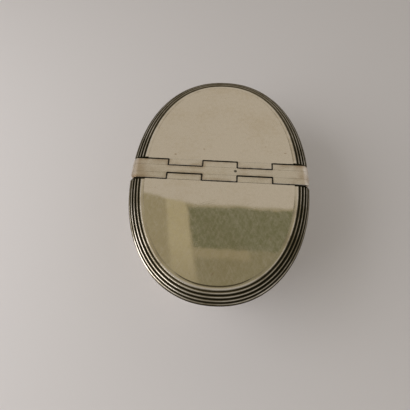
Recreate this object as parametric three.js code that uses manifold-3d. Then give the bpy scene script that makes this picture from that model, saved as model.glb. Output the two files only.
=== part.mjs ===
// Oval silver spice box with two lids, in millimetres, +Z up.
// The origin is at the middle of the underside. X runs along the bar, Y along the box, front at -Y.
// Plan offsets are measured square to the oval edge of the lid plates, outwards.
import * as THREE from 'three';
import { mergeVertices } from 'three/addons/utils/BufferGeometryUtils.js';
import Module from 'manifold-3d';

// The oval and the height
const LID_HALF_WIDTH = 23.95;
const LID_HALF_LENGTH = 37.4;
const OVAL_FULLNESS = 2.2; // 2 is an ellipse, more is squarer
const OVERALL_HEIGHT = 28;

// Body
const WALL_INSET = 1.95; // wall face inside the lid plate's edge
const WALL_THICKNESS = 0.8;
const BASE_THICKNESS = 1;
const FOOT_PROJECTION = 0.8; // base beyond the wall
const FOOT_HEIGHT = 1.4;
const RIM_WIDTH = 2.4;
const RIM_EDGE = 1; // upright outer edge of the rim
const RIM_UNDER_BAR = 1.4; // what is left of the rim below the bar
const PARTITION_THICKNESS = 0.8;

// Lids
const LID_THICKNESS = 1;
const BEZEL_THICKNESS = 0.6;
const BEZEL_DEPTH = 3;
const BEZEL_CLEARANCE = 0.6; // to the wall, so that the bezel swings out
const BEZEL_END_GAP = 0.8; // to the lid's straight edge

// Reeded border, from the lid plate outwards: a flush shoulder, three reeds and a round lip
const SHOULDER_WIDTH = 1.49;
const SHOULDER_FLAT = 0.5; // flush with the plate
const SHOULDER_CREST = 1.27; // where the flat and the fall of the shoulder would meet
const REED_WIDTHS = [1.03, 0.94, 0.83];
const REED_RISE = 0.28;
const GROOVE_DEPTH = 0.15;
const BORDER_DOME_RADIUS = 8.75;
const BORDER_WIDTH = 5.07;
const LIP_RADIUS = 0.9;
const BORDER_OVER_RIM = 0.8; // flat underside beyond the rim

// Bar and hinges
const BAR_STRIP_WIDTH = 2.9;
const BAR_DEPTH = 2.4;
const BAR_END_ROUND_LENGTH = 2.6;
const BAR_END_ROUND_DROP = 1.9;
const KNUCKLE_LENGTH = 11.33;
const KNUCKLE_RADIUS = 1.14;
const AXIS_DEPTH = 0.75; // hinge axis below the top
const PIN_RADIUS = 0.38;
const BAR_END_PLUG = 3; // closed end of the bar beyond the pin

// Clearances
const SOLDER_GAP = 0.05;
const SEAT_GAP = 0.05; // lid to rim
const SWING_GAP = 0.11; // knuckle to what it turns past
const KNUCKLE_GAP = 0.12; // between knuckles along the pin
const PIN_CLEARANCE = 0.07;
const PIN_END_GAP = 0.15;

// Facets
const OVAL_SIDES = 64;
const REED_STEPS = 4;
const LIP_STEPS = 9;
const MOULDING_STEPS = 4;
const ARC_SEGMENTS = 6;
const PIN_SIDES = 12;
const MERGE_TOLERANCE = 1e-4;

// Places that follow from the sizes
const TOP = OVERALL_HEIGHT;
const LID_UNDERSIDE = TOP - LID_THICKNESS;
const SEAT = LID_UNDERSIDE - SEAT_GAP;
const WALL_FOOT = BASE_THICKNESS + SOLDER_GAP;
const WALL_OUTSIDE = -WALL_INSET;
const WALL_INSIDE = WALL_OUTSIDE - WALL_THICKNESS;
const BASE_EDGE = WALL_OUTSIDE + FOOT_PROJECTION;
const RIM_EDGE_OFFSET = WALL_OUTSIDE + RIM_WIDTH;
const AXIS_Y = BAR_STRIP_WIDTH / 2 + SWING_GAP + KNUCKLE_RADIUS;
const AXIS_Z = TOP - AXIS_DEPTH;
const BAR_HALF_WIDTH = AXIS_Y + KNUCKLE_RADIUS;
const BAR_UNDERSIDE = TOP - BAR_DEPTH;
const BAR_END = LID_HALF_WIDTH + BORDER_WIDTH;
const LID_EDGE_Y = BAR_HALF_WIDTH + SWING_GAP;
const SLOT_FLOOR = BAR_UNDERSIDE - SOLDER_GAP;
const BORE_RADIUS = PIN_RADIUS + PIN_CLEARANCE;
const BORE_LENGTH = 2 * (BAR_END - BAR_END_PLUG);
const PIN_LENGTH = BORE_LENGTH - 2 * PIN_END_GAP;
const REACH = 4 * (LID_HALF_LENGTH + BORDER_WIDTH + OVERALL_HEIGHT); // larger than the box every way

const SILVER = { color: 0xbcb5a6, roughness: 0.3, metalness: 1 };
const WORN_SILVER = { color: 0xa9a294, roughness: 0.42, metalness: 1 };
const PIN_WIRE = { color: 0x9a948a, roughness: 0.35, metalness: 1 };

const wasm = await Module();
wasm.setup();

function signedVolume(vertices, faces) {
  const corner = (index) => new THREE.Vector3().fromArray(vertices, 3 * index);
  let sum = 0;
  for (let i = 0; i < faces.length; i += 3) {
    sum += corner(faces[i]).dot(corner(faces[i + 1]).cross(corner(faces[i + 2]))) / 6;
  }
  return sum;
}

// A closed body with its faces turned outwards, ready to be cut.
function solid(geometry) {
  const bare = geometry.clone();
  bare.deleteAttribute('normal');
  bare.deleteAttribute('uv');
  const merged = mergeVertices(bare, MERGE_TOLERANCE);
  const vertProperties = Float32Array.from(merged.attributes.position.array);
  const triVerts = Uint32Array.from(merged.index.array);
  if (signedVolume(vertProperties, triVerts) < 0) {
    triVerts.reverse();
  }
  return new wasm.Manifold(new wasm.Mesh({ numProp: 3, vertProperties, triVerts }));
}

function piece(name, body, finish) {
  const cut = body.getMesh();
  const geometry = new THREE.BufferGeometry();
  geometry.setAttribute('position', new THREE.BufferAttribute(cut.vertProperties, 3));
  geometry.setIndex(new THREE.BufferAttribute(cut.triVerts, 1));
  geometry.computeVertexNormals();
  const mesh = new THREE.Mesh(geometry, new THREE.MeshStandardMaterial(finish));
  mesh.name = name;
  return mesh;
}

// The point of the oval at a polar angle, moved outwards by an offset square to the lid's edge.
function ovalPoint(angle, offset) {
  const across = Math.cos(angle) / LID_HALF_WIDTH;
  const along = Math.sin(angle) / LID_HALF_LENGTH;
  const power = OVAL_FULLNESS;
  const reach = (Math.abs(across) ** power + Math.abs(along) ** power) ** (-1 / power);
  const outward = new THREE.Vector2(
    Math.sign(across) * Math.abs(across) ** (power - 1) / LID_HALF_WIDTH,
    Math.sign(along) * Math.abs(along) ** (power - 1) / LID_HALF_LENGTH,
  ).normalize();
  return new THREE.Vector2(Math.cos(angle), Math.sin(angle))
    .multiplyScalar(reach)
    .addScaledVector(outward, offset);
}

// A lathe ring of a section of (offset, height) points, bent from a circle to the oval.
function ovalRing(section) {
  const circle = LID_HALF_LENGTH;
  const closed = [...section, section[0]];
  const ring = new THREE.LatheGeometry(
    closed.map((point) => new THREE.Vector2(circle + point.x, point.y)),
    OVAL_SIDES,
  );
  const position = ring.attributes.position;
  for (let i = 0; i < position.count; i += 1) {
    const angle = Math.atan2(position.getX(i), position.getZ(i));
    const radius = Math.hypot(position.getX(i), position.getZ(i));
    const place = ovalPoint(angle, radius - circle);
    position.setXYZ(i, place.x, place.y, position.getY(i));
  }
  return solid(ring);
}

function ovalPlate(offset, bottom, thickness) {
  const corners = [];
  for (let i = 0; i < OVAL_SIDES; i += 1) {
    corners.push(ovalPoint((2 * Math.PI * i) / OVAL_SIDES, offset));
  }
  const plate = new THREE.ExtrudeGeometry(new THREE.Shape(corners), {
    depth: thickness,
    bevelEnabled: false,
  });
  plate.translate(0, 0, bottom);
  return solid(plate);
}

function stripSection(inside, outside, bottom, top) {
  return [
    new THREE.Vector2(inside, bottom),
    new THREE.Vector2(outside, bottom),
    new THREE.Vector2(outside, top),
    new THREE.Vector2(inside, top),
  ];
}

// Everything on one side of the box beyond a line across it. Side is 1 at the rear, -1 in front.
function sideBeyond(side, edge) {
  const half = new THREE.BoxGeometry(REACH, REACH, REACH);
  half.translate(0, side * (edge + REACH / 2), 0);
  return solid(half);
}

// A section drawn in (Y, Z) about a hinge axis, carried along X on one side of the box.
function alongBar(section, fromX, toX, side) {
  const prism = new THREE.ExtrudeGeometry(section, {
    depth: toX - fromX,
    bevelEnabled: false,
    curveSegments: ARC_SEGMENTS,
  });
  prism.applyMatrix4(new THREE.Matrix4().makeBasis(
    new THREE.Vector3(0, 1, 0),
    new THREE.Vector3(0, 0, 1),
    new THREE.Vector3(1, 0, 0),
  ));
  prism.translate(fromX, AXIS_Y, AXIS_Z);
  prism.scale(1, side, 1);
  return solid(prism);
}

// A rod along one hinge axis, for the pin and for the bore that it runs in.
function hingeRod(side, radius, length) {
  const rod = new THREE.CylinderGeometry(radius, radius, length, PIN_SIDES);
  rod.rotateZ(Math.PI / 2);
  rod.translate(0, side * AXIS_Y, AXIS_Z);
  return solid(rod);
}

function hingeBore(side) {
  return hingeRod(side, BORE_RADIUS, BORE_LENGTH);
}

// The bar's outline from the front, with its ends rounded over, as wide as asked.
function barOutline(width) {
  const outline = new THREE.Shape();
  const roundX = BAR_END - BAR_END_ROUND_LENGTH;
  const roundZ = TOP - BAR_END_ROUND_DROP;
  outline.moveTo(-BAR_END, BAR_UNDERSIDE);
  outline.lineTo(BAR_END, BAR_UNDERSIDE);
  outline.absellipse(roundX, roundZ, BAR_END_ROUND_LENGTH, BAR_END_ROUND_DROP, 0, Math.PI / 2, false, 0);
  outline.absellipse(
    -roundX, roundZ, BAR_END_ROUND_LENGTH, BAR_END_ROUND_DROP, Math.PI / 2, Math.PI, false, 0,
  );
  const bar = new THREE.ExtrudeGeometry(outline, {
    depth: width,
    bevelEnabled: false,
    curveSegments: ARC_SEGMENTS,
  });
  bar.rotateX(Math.PI / 2);
  bar.translate(0, width / 2, 0);
  return solid(bar);
}

// The bar is let into a slot across the wall and the rim.
function barSlot() {
  const slot = new THREE.BoxGeometry(REACH, 2 * (BAR_HALF_WIDTH + SOLDER_GAP), REACH);
  slot.translate(0, 0, SLOT_FLOOR + REACH / 2);
  return solid(slot);
}

function bodyWall() {
  const section = stripSection(WALL_INSIDE, WALL_OUTSIDE, WALL_FOOT, SEAT);
  return ovalRing(section).subtract(barSlot());
}

function rimFlange() {
  const inside = WALL_OUTSIDE + SOLDER_GAP;
  const lowest = SLOT_FLOOR - RIM_UNDER_BAR;
  const hollow = new THREE.QuadraticBezierCurve(
    new THREE.Vector2(RIM_EDGE_OFFSET, SEAT - RIM_EDGE),
    new THREE.Vector2(inside + RIM_WIDTH / 4, SEAT - RIM_EDGE),
    new THREE.Vector2(inside, lowest),
  );
  const section = [
    new THREE.Vector2(inside, SEAT),
    new THREE.Vector2(RIM_EDGE_OFFSET, SEAT),
    ...hollow.getPoints(MOULDING_STEPS),
  ];
  return ovalRing(section).subtract(barSlot());
}

function footMoulding() {
  const inside = WALL_OUTSIDE + SOLDER_GAP;
  const round = new THREE.EllipseCurve(
    inside, WALL_FOOT, BASE_EDGE - inside, FOOT_HEIGHT, 0, Math.PI / 2,
  );
  return ovalRing([new THREE.Vector2(inside, WALL_FOOT), ...round.getPoints(MOULDING_STEPS)]);
}

function partition() {
  const top = BAR_UNDERSIDE - SOLDER_GAP;
  const halfWidth = LID_HALF_WIDTH + WALL_INSIDE - SOLDER_GAP;
  const plate = new THREE.BoxGeometry(2 * halfWidth, PARTITION_THICKNESS, top - WALL_FOOT);
  plate.translate(0, 0, (top + WALL_FOOT) / 2);
  return solid(plate);
}

// A block with a rounded shoulder and a bore, soldered to the side of the bar's strip.
function barKnuckle(side, fromX, toX) {
  const shoulder = Math.asin(AXIS_DEPTH / KNUCKLE_RADIUS);
  const inside = BAR_STRIP_WIDTH / 2 + SOLDER_GAP - AXIS_Y;
  const bottom = BAR_UNDERSIDE - AXIS_Z;
  const section = new THREE.Shape();
  section.moveTo(inside, bottom);
  section.lineTo(KNUCKLE_RADIUS, bottom);
  section.absarc(0, 0, KNUCKLE_RADIUS, 0, shoulder, false);
  section.lineTo(inside, AXIS_DEPTH);
  return alongBar(section, fromX, toX, side).intersect(barOutline(REACH)).subtract(hingeBore(side));
}

// A barrel filed flat on top, with a web to the lid's straight edge.
function lidKnuckle(side, fromX, toX) {
  const shoulder = Math.asin(AXIS_DEPTH / KNUCKLE_RADIUS);
  const webEnd = LID_EDGE_Y - SOLDER_GAP - AXIS_Y;
  const webBottom = LID_UNDERSIDE - AXIS_Z;
  const webAngle = Math.asin(webBottom / KNUCKLE_RADIUS);
  const section = new THREE.Shape();
  section.moveTo(webEnd, webBottom);
  section.lineTo(webEnd, AXIS_DEPTH);
  section.absarc(0, 0, KNUCKLE_RADIUS, Math.PI - shoulder, 2 * Math.PI + webAngle, false);
  return alongBar(section, fromX, toX, side).subtract(hingeBore(side));
}

// Height of the border's grooves at a distance from the lid plate.
function grooveHeight(distance) {
  return TOP - GROOVE_DEPTH - distance ** 2 / (2 * BORDER_DOME_RADIUS);
}

function reedCurve(from, to) {
  const along = to.clone().sub(from).normalize();
  const outward = new THREE.Vector2(-along.y, along.x);
  const crest = from.clone().lerp(to, 0.5).addScaledVector(outward, 2 * REED_RISE);
  return new THREE.QuadraticBezierCurve(from, crest, to);
}

function borderSection() {
  let distance = SHOULDER_WIDTH;
  let groove = new THREE.Vector2(distance, grooveHeight(distance));
  const shoulder = new THREE.QuadraticBezierCurve(
    new THREE.Vector2(SHOULDER_FLAT, TOP),
    new THREE.Vector2(SHOULDER_CREST, TOP),
    groove,
  );
  const points = [
    new THREE.Vector2(SOLDER_GAP, LID_UNDERSIDE),
    new THREE.Vector2(SOLDER_GAP, TOP),
    ...shoulder.getPoints(REED_STEPS).slice(0, -1),
  ];
  for (const width of REED_WIDTHS) {
    distance += width;
    const next = new THREE.Vector2(distance, grooveHeight(distance));
    points.push(...reedCurve(groove, next).getPoints(REED_STEPS).slice(0, -1));
    groove = next;
  }
  const lipOffset = BORDER_WIDTH - LIP_RADIUS;
  const lipTurn = Math.acos((groove.x - lipOffset) / LIP_RADIUS);
  const lipHeight = groove.y - LIP_RADIUS * Math.sin(lipTurn);
  const lip = new THREE.EllipseCurve(
    lipOffset, lipHeight, LIP_RADIUS, LIP_RADIUS, lipTurn, -Math.PI / 2, true,
  );
  points.push(...lip.getPoints(LIP_STEPS));
  points.push(new THREE.Vector2(RIM_EDGE_OFFSET + BORDER_OVER_RIM, LID_UNDERSIDE));
  return points;
}

function bezelSection() {
  const outside = WALL_INSIDE - BEZEL_CLEARANCE;
  const top = LID_UNDERSIDE - SOLDER_GAP;
  return stripSection(outside - BEZEL_THICKNESS, outside, top - BEZEL_DEPTH, top);
}

// Knuckle places along the pin: bar and lid take turns, starting and ending with the bar.
const INNER_CUT = KNUCKLE_LENGTH / 2;
const OUTER_CUT = INNER_CUT + KNUCKLE_LENGTH;
const EASE = KNUCKLE_GAP / 2;
const BAR_KNUCKLES = {
  left: [-BAR_END, -OUTER_CUT - EASE],
  middle: [-INNER_CUT + EASE, INNER_CUT - EASE],
  right: [OUTER_CUT + EASE, BAR_END],
};
const LID_KNUCKLES = {
  left: [-OUTER_CUT + EASE, -INNER_CUT - EASE],
  right: [INNER_CUT + EASE, OUTER_CUT - EASE],
};
const SIDES = { front: -1, rear: 1 };

function boxGroup() {
  const group = new THREE.Group();
  group.add(piece('base_plate', ovalPlate(BASE_EDGE, 0, BASE_THICKNESS), WORN_SILVER));
  group.add(piece('foot_moulding', footMoulding(), SILVER));
  group.add(piece('body_wall', bodyWall(), SILVER));
  group.add(piece('rim_flange', rimFlange(), SILVER));
  group.add(piece('partition', partition(), WORN_SILVER));
  group.add(piece('hinge_bar', barOutline(BAR_STRIP_WIDTH), SILVER));
  for (const [sideName, side] of Object.entries(SIDES)) {
    for (const [place, [fromX, toX]] of Object.entries(BAR_KNUCKLES)) {
      group.add(piece(`${sideName}_bar_knuckle_${place}`, barKnuckle(side, fromX, toX), SILVER));
    }
    group.add(piece(`${sideName}_hinge_pin`, hingeRod(side, PIN_RADIUS, PIN_LENGTH), PIN_WIRE));
  }
  return group;
}

// Each lid is a group whose origin is on its hinge axis, so turning the group about X opens the lid.
function lidGroup(sideName, side) {
  const plate = ovalPlate(0, LID_UNDERSIDE, LID_THICKNESS).intersect(sideBeyond(side, LID_EDGE_Y));
  const border = ovalRing(borderSection()).intersect(sideBeyond(side, LID_EDGE_Y));
  const bezel = ovalRing(bezelSection()).intersect(sideBeyond(side, LID_EDGE_Y + BEZEL_END_GAP));
  const group = new THREE.Group();
  group.add(piece(`${sideName}_lid_plate`, plate, SILVER));
  group.add(piece(`${sideName}_lid_border`, border, SILVER));
  group.add(piece(`${sideName}_lid_bezel`, bezel, WORN_SILVER));
  for (const [place, [fromX, toX]] of Object.entries(LID_KNUCKLES)) {
    group.add(piece(`${sideName}_lid_knuckle_${place}`, lidKnuckle(side, fromX, toX), SILVER));
  }
  group.position.set(0, side * AXIS_Y, AXIS_Z);
  for (const mesh of group.children) {
    mesh.position.copy(group.position).negate();
  }
  return group;
}

const box = new THREE.Group();
box.add(boxGroup());
for (const [sideName, side] of Object.entries(SIDES)) {
  box.add(lidGroup(sideName, side));
}

export default box;
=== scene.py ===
"""An oval silver spice box with two lids: its pieces, finishes and stage.

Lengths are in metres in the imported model's frame: X along the bar, Y along the box, front at -Y.
Plan offsets are measured square to the oval edge of the lid plates, outwards.
"""

import math

import bmesh
import bpy
from bpy.props import FloatProperty, FloatVectorProperty, IntProperty, PointerProperty
from mathutils import Matrix, Vector


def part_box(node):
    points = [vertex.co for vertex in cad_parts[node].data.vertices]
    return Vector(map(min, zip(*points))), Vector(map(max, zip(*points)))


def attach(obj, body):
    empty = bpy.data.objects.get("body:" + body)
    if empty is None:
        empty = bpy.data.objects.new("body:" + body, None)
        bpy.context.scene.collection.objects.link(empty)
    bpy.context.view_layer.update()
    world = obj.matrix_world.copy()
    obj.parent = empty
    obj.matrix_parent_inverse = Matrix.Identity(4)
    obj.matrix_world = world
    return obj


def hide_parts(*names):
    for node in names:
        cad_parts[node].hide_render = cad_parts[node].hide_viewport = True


bl_info = {
    "name": "Spice box",
    "version": (1, 0, 0),
    "blender": (4, 5, 0),
    "location": "View3D > Sidebar > Spice box",
    "description": "Makes an oval silver spice box with two hinged lids, and its stage",
    "category": "Object",
}

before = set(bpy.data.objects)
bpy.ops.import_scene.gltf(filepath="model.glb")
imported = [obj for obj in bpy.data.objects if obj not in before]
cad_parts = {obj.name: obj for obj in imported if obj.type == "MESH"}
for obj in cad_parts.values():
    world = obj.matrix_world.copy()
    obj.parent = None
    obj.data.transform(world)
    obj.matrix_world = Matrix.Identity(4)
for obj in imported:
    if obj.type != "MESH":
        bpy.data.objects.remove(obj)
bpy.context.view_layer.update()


def lowest(node):
    """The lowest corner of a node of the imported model."""
    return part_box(node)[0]


def highest(node):
    """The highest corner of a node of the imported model."""
    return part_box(node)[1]


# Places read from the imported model
TOP = highest("hinge_bar").z
STRIP_HALF_WIDTH = highest("hinge_bar").y
BAR_END = highest("hinge_bar").x
BAR_UNDERSIDE = lowest("hinge_bar").z
AXIS_Y = (lowest("rear_hinge_pin").y + highest("rear_hinge_pin").y) / 2
AXIS_Z = (lowest("rear_hinge_pin").z + highest("rear_hinge_pin").z) / 2
PIN_RADIUS = (highest("rear_hinge_pin").y - lowest("rear_hinge_pin").y) / 2
PIN_END = highest("rear_hinge_pin").x
KNUCKLE_RADIUS = highest("rear_bar_knuckle_middle").y - AXIS_Y
BAR_HALF_WIDTH = highest("rear_bar_knuckle_middle").y
BLOCK_INSIDE = lowest("rear_bar_knuckle_middle").y
WEB_END = highest("rear_lid_knuckle_left").y
LID_EDGE = lowest("rear_lid_plate").y
LID_UNDERSIDE = lowest("rear_lid_plate").z
LID_HALF_LENGTH = highest("rear_lid_plate").y
LID_HALF_WIDTH = highest("base_plate").x + LID_HALF_LENGTH - highest("base_plate").y
BORDER_WIDTH = highest("rear_lid_border").y - LID_HALF_LENGTH
BASE_EDGE = highest("base_plate").y - LID_HALF_LENGTH
BASE_TOP = highest("base_plate").z
WALL_OUTSIDE = highest("body_wall").y - LID_HALF_LENGTH
WALL_FOOT = lowest("body_wall").z
SEAT = highest("body_wall").z
FOOT_TOP = highest("foot_moulding").z
RIM_EDGE = highest("rim_flange").y - LID_HALF_LENGTH
RIM_BOTTOM = lowest("rim_flange").z
BEZEL_OUTSIDE = highest("rear_lid_bezel").y - LID_HALF_LENGTH
BEZEL_BOTTOM = lowest("rear_lid_bezel").z
BEZEL_TOP = highest("rear_lid_bezel").z
BEZEL_EDGE = lowest("rear_lid_bezel").y
PARTITION_HALF_WIDTH = highest("partition").x
PARTITION_HALF = highest("partition").y
PARTITION_TOP = highest("partition").z

# Middle of the open seams round the knuckles
INNER_CUT = (highest("rear_bar_knuckle_middle").x + lowest("rear_lid_knuckle_right").x) / 2
OUTER_CUT = (highest("rear_lid_knuckle_right").x + lowest("rear_bar_knuckle_right").x) / 2
INNER_SEAM = (STRIP_HALF_WIDTH + AXIS_Y - KNUCKLE_RADIUS) / 2
OUTER_SEAM = (BAR_HALF_WIDTH + LID_EDGE) / 2

# Small sizes that the pieces share
SIDES = {"front": -1, "rear": 1}
SOLDER_GAP = 0.00005
SOLDER_FILLET = 0.0006
WALL_THICKNESS = 0.0008
BEZEL_THICKNESS = 0.0006
BORE_CLEARANCE = 0.00007
RIM_UPRIGHT = 0.001
RIM_HOLLOW_SHARE = 0.25
BORDER_OVER_RIM = 0.0008
HAIRLINE = 0.000005
SHOULDER_FLAT = 0.0005
SHOULDER_CREST = 0.00127
SHOULDER_WIDTH = 0.00149
REED_WIDTHS = (0.00103, 0.00094, 0.00083)
LIP_START = SHOULDER_WIDTH + sum(REED_WIDTHS)
LIP_GROOVE_WIDTH = 0.0003
LIP_CREST = LIP_START + LIP_GROOVE_WIDTH

# Depths below the top at which the sides of the open seams are clean and black, and their ragged edges
# The black in the seams is tarnish and painted shade between the parts
SEAM_CLEAN_DEPTH = 0.0014
SEAM_BLACK_DEPTH = 0.0002
SEAM_RAGGEDNESS = 0.0003
BORDER_END_RAGGEDNESS = 0.0004

# A shallow pit on the bar: its middle, and the radii of its edge and of its dark floor
BAR_PIT = (0.0051, 0.0002, TOP)
PIT_RADII = (0.00062, 0.00034)

# Haze on the lids: how rough it is, and its share of the surface where it is thickest
HAZE_ROUGHNESS = 0.45
HAZE_SHARE = 0.24

# Tarnish and painted shade on the borders, from 0 on clean silver to 1 in a black groove
# Over most of each reed's flanks the tarnish is also painted shade, for the dark room that the reeds mirror
GROOVE_TARNISH_AND_SHADE = (0.8, 1.0, 1.0, 1.0)
CREST_TARNISH = 0.01
# How narrow the bright crests stay between the painted shade on the flanks
CREST_SHARPNESS = 1.6
SHOULDER_SHARPNESS = 4
UNDERSIDE_TARNISH = 0.02
SEAM_TARNISH = 0.03
# A painted shade line along the plate's edge at the front tip, and how far it reaches to each side
TIP_SHADE = 0.2
TIP_SHADE_REACH = 0.0115
# The lip's olive is tarnish and painted shade; the dark band along its outer edge is painted shade of the
# shadow it mirrors
LIP_TARNISH_AND_SHADE = 0.078
LIP_LINE_LIMIT = 2 * LIP_TARNISH_AND_SHADE
LIP_GROOVE_SHARE = 0.15
LIP_SHADE_BAND = (0.19, 0.28, 0.68, 0.85)
LIP_EDGE_SHADE = 0.18

# Where tarnish and painted shade change round the borders: a middle angle in plan and a spread to each
# side, in degrees
# The lip, cleared of tarnish and painted shade where the lamp's highlight is to show
LIP_HIGHLIGHT_CLEARING = (236, 14)
# The lip, worn lighter round the front
LIP_WORN = (270, 85)
LIP_POLISH = 0.5
# The reeds, cleared of tarnish and painted shade where the lamp's highlights are to show
REEDS_HIGHLIGHT_CLEARING = (260, 40)
REED_CLEARING = 0.55
# Painted shade on the reeds at the front right, away from the lamp
REEDS_SHADED = (314, 34)
REED_SHADE = 0.03
# Towards the rear, tarnish and painted shade are capped lower, so the grooves show lighter there
REAR_CAPPED = (90, 80)
REAR_CAPS = (0.34, 0.17)

# How finely the curves are made
FLAT_SHARES = (0.3, 0.7)
REED_STEPS = 10
LIP_STEPS = 22
ARC_STEPS = 10
BARREL_STEPS = 30
END_STEPS = 14
CORNER_CUTS = 6
BORE_SIDES = 32
FIRST_EASE = 0.3
EASE_SEGMENTS = 3
MERGE_DISTANCE = 1e-7
CUT_DISTANCE = 1e-8
SHARP_ANGLE = math.radians(32)
FLAT_SIDES = 4

# The floor, the lamp and the camera
FLOOR_HALF_SIZE = 6
FIBRE_COLOUR = (0.5, 0.48, 0.46)
FIBRE_SHARE = 0.06
LAMP_SIZE = (0.32, 0.28)
LAMP_COLOUR = (1.0, 0.985, 1.0)
LAMP_DIRECTION = Vector((-0.83, -0.25, 0.5))
LAMP_DISTANCE = 0.33
CAMERA_LENS = 28.98
CAMERA_SENSOR = 36.0
CAMERA_NEAREST = 0.001
CAMERA_EYE = Vector((0.000426, -0.060602, TOP + 0.089051))
CAMERA_AIM = Vector((-0.0039, -0.012793, TOP))
CAMERA_ROLL = math.radians(-1.514)

# The room overhead. Slant is how far ahead a direction leans for each unit that it rises, and shift is
# how far it leans to the right. Each pair gives the two sides of a soft edge.
LOWEST_RISE = 0.05
BEYOND = (-0.3, 0.3)
RAISED = (0.12, 0.42)
SIDE_SHIFT = (0.6, 1.0)
SIDE_LEAN = 0.2
CEILING_LEFT = (-0.55, -0.4)
CEILING_RIGHT = (0.55, 0.4)
CEILING_FAR = (0.545, 0.53)
CEILING_NEAR = (0.05, 0.2)
CEILING_TURN = -0.08
CEILING_TURN_SLOPE = 0.19
CARD_FAR = (0.533, 0.525)
CARD_NEAR = (0.375, 0.385)
CARD_LEFT = (-0.005, 0.005)
CARD_RIGHT = (0.275, 0.255)
BAND_LEFT = (-0.085, -0.07)
BAND_RIGHT = (0.0, -0.01)
BAND_NEAR = (0.2, 0.42)
SHADE_FAR = (0.355, 0.34)
SHADE_LEFT = (-0.01, 0.01)
SHADE_CORNER_FAR = (0.39, 0.38)
SHADE_CORNER_LEFT = (0.1, 0.115)


class OvalSizes(bpy.types.PropertyGroup):
    """The oval plan of the box."""

    fullness: FloatProperty(
        name="Fullness", description="2 is an ellipse, and more is squarer", default=2.2, min=1.5, max=4
    )
    steps: IntProperty(
        name="Steps", description="Steps round a full oval", default=288, min=32, max=512
    )


class BorderSizes(bpy.types.PropertyGroup):
    """The reeded border of each lid."""

    reed_rise: FloatProperty(
        name="Reed rise", description="Height of a reed over its grooves",
        default=0.00028, unit="LENGTH", precision=5,
    )
    groove_depth: FloatProperty(
        name="Groove depth", description="Depth of the first groove below the lid",
        default=0.00015, unit="LENGTH", precision=5,
    )
    dome_radius: FloatProperty(
        name="Dome radius", description="Radius that the border falls away by",
        default=0.00875, unit="LENGTH", precision=5,
    )
    lip_radius: FloatProperty(
        name="Lip radius", description="Radius of the outermost reed",
        default=0.0009, unit="LENGTH", precision=5,
    )
    corner_radius: FloatProperty(
        name="End corner", description="Radius in plan of the border's outer end corners",
        default=0.001, unit="LENGTH", precision=5,
    )


class HingeSizes(bpy.types.PropertyGroup):
    """The bar across the box and its knuckles."""

    end_length: FloatProperty(
        name="End length", description="Length that each end of the bar is rounded over",
        default=0.0026, unit="LENGTH", precision=5,
    )
    end_drop: FloatProperty(
        name="End drop", description="Height that each end of the bar falls by",
        default=0.0019, unit="LENGTH", precision=5,
    )
    end_corner: FloatProperty(
        name="End corner", description="Radius in plan of the bar's corners",
        default=0.002, unit="LENGTH", precision=5,
    )
    knuckle_ease: FloatProperty(
        name="Knuckle ease", description="Rounding of the knuckles' edges",
        default=0.00009, unit="LENGTH", precision=6,
    )
    plate_ease: FloatProperty(
        name="Plate ease", description="Rounding of the sheet metal's edges",
        default=0.0001, unit="LENGTH", precision=6,
    )


class FinishColours(bpy.types.PropertyGroup):
    """Colours of the metal."""

    silver: FloatVectorProperty(
        name="Silver", description="Polished silver", default=(0.86, 0.8, 0.7),
        subtype="COLOR", size=3, min=0, max=1,
    )
    bloom: FloatVectorProperty(
        name="Bloom", description="Thin yellow tarnish on polished silver", default=(0.74, 0.65, 0.5),
        subtype="COLOR", size=3, min=0, max=1,
    )
    # The tarnish colour is also painted as shade in the reeds' grooves and the seams round the knuckles
    tarnish: FloatVectorProperty(
        name="Tarnish", description="Brown black tarnish in the grooves", default=(0.02, 0.018, 0.009),
        subtype="COLOR", size=3, min=0, max=1,
    )
    # The olive colour is also painted as shade on the reeds' flanks and the lip, for the dark room they
    # mirror
    olive: FloatVectorProperty(
        name="Olive tarnish", description="Brown tarnish beside the grooves", default=(0.16, 0.132, 0.078),
        subtype="COLOR", size=3, min=0, max=1,
    )
    brown: FloatVectorProperty(
        name="Brown tarnish", description="Brown stain beside the seams", default=(0.42, 0.3, 0.18),
        subtype="COLOR", size=3, min=0, max=1,
    )
    worn: FloatVectorProperty(
        name="Worn silver", description="Unpolished silver inside and below", default=(0.68, 0.63, 0.55),
        subtype="COLOR", size=3, min=0, max=1,
    )
    wire: FloatVectorProperty(
        name="Pin wire", description="Drawn wire of the hinge pins", default=(0.52, 0.48, 0.42),
        subtype="COLOR", size=3, min=0, max=1,
    )


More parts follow.
